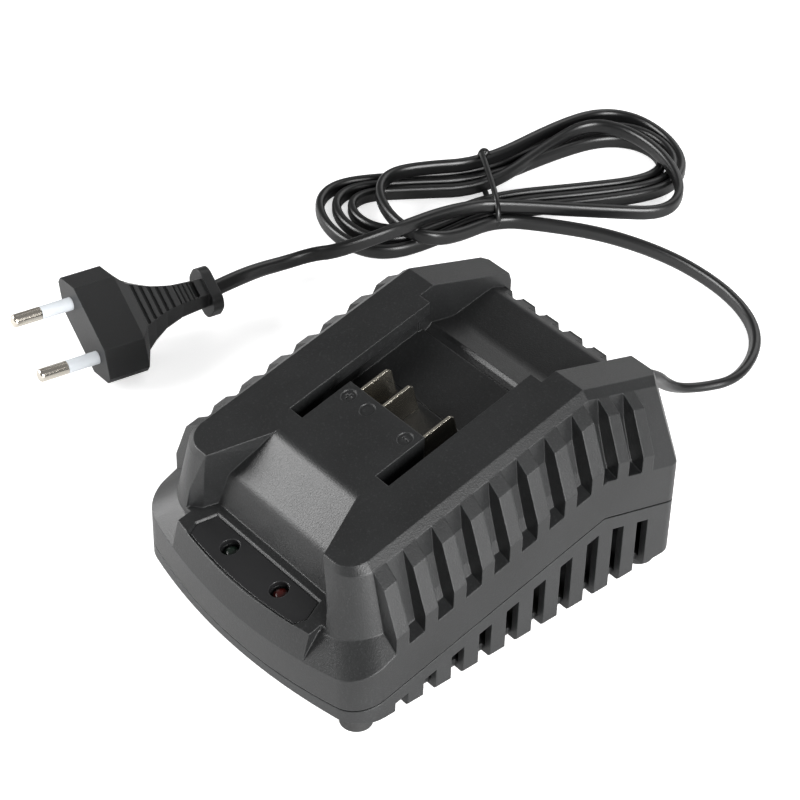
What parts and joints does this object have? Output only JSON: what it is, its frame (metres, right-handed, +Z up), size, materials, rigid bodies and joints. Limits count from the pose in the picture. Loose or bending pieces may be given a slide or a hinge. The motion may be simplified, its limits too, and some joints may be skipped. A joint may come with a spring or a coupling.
{
  "type": "battery charger",
  "caption": "Slide-pack battery charger with sloping dock, blade contacts, cooling fins and a tied mains lead with a round-pin plug.",
  "frame": {"origin": "under the middle of the housing, on the surface that the feet stand on (the lead and its plug are not counted)", "axes": "+Z up, -Y towards the front with the indicator window, +Y towards the rear wall with the mains lead, +X to the right seen from the front"},
  "size_m": [0.1977, 0.2672, 0.0653],
  "materials": {
    "housing_top": "matte moulded ABS, fine spark texture",
    "housing_bottom": "matte moulded ABS, fine spark texture",
    "rubber": "matt",
    "screw_steel": "zinc plated",
    "window": "polished inlay",
    "red_lamp": "clear tinted lamp",
    "green_lamp": "clear tinted lamp",
    "holder": "plain moulding",
    "contact_metal": "nickel plated brass strip",
    "lead_copper": "tinned copper wire",
    "board": "green solder mask",
    "ferrite": "sintered ferrite",
    "winding_tape": "yellow polyester tape",
    "capacitor_sleeve": "shrink sleeve",
    "choke_winding": "enamelled copper",
    "filter_yellow": "moulded box",
    "aluminium": "extruded",
    "semiconductor": "moulded epoxy",
    "fuse_glass": "glass tube with metal caps",
    "gland": "flexible PVC",
    "lead_insulation": "PVC insulated wire",
    "cord": "smooth PVC sheath",
    "tie": "plastic covered tie",
    "plug": "moulded PVC",
    "pin_metal": "nickel plated brass",
    "sleeve": "insulating sleeve"
  },
  "bodies": {
    "root": {"upper_housing": "housing_top", "lower_housing": "housing_bottom", "rubber_feet": "rubber", "housing_screws": "screw_steel", "indicator_window": "window", "red_led": "red_lamp", "green_led": "green_lamp", "led_holder": "holder", "positive_blade": "contact_metal", "data_blade": "contact_metal", "negative_blade": "contact_metal", "contact_carrier": "holder", "contact_leads": "lead_copper", "circuit_board": "board", "board_screws": "screw_steel", "transformer_core": "ferrite", "transformer_winding": "winding_tape", "mains_capacitor": "capacitor_sleeve", "output_capacitor": "capacitor_sleeve", "suppression_choke": "choke_winding", "filter_capacitor": "filter_yellow", "heat_sink": "aluminium", "switching_transistor": "semiconductor", "rectifier": "semiconductor", "fuse": "fuse_glass", "control_chip": "semiconductor", "cord_gland": "gland", "mains_leads": "lead_insulation", "cord_housing_run": "cord", "cord_plug_run": "cord", "cord_hank": "cord", "cord_tie": "tie", "plug_body": "plug", "plug_pins": "pin_metal", "plug_sleeves": "sleeve"}
  },
  "joints": []
}
